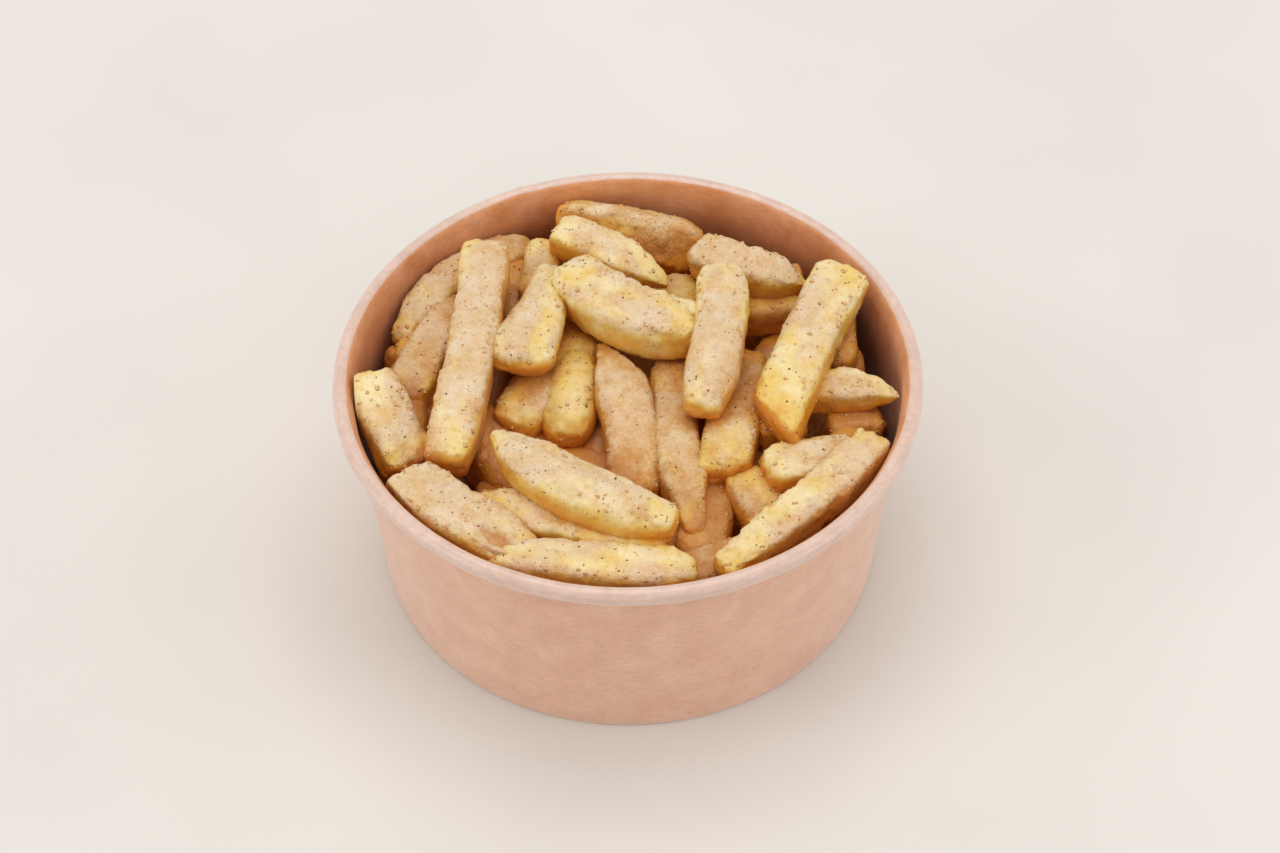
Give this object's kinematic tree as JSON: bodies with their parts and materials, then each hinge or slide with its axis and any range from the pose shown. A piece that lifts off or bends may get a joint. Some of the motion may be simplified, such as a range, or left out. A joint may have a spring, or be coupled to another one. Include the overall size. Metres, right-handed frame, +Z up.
{
  "type": "bowl of french fries",
  "caption": "Round takeaway bowl of kraft paperboard with a rolled rim and recessed base, filled to the rim with thick seasoned fries.",
  "frame": {"origin": "middle of the bowl's foot, on the plane it stands on", "axes": "+Z up; -Y towards the side the picture is taken from, +X to its right"},
  "size_m": [0.15, 0.15, 0.0718],
  "materials": {
    "kraft_board": "uncoated kraft outside, faint satin film inside",
    "fried_potato": "floury fried coating with pepper and paprika specks"
  },
  "bodies": {
    "root": {"bowl": "kraft_board", "fries": "fried_potato"}
  },
  "joints": []
}
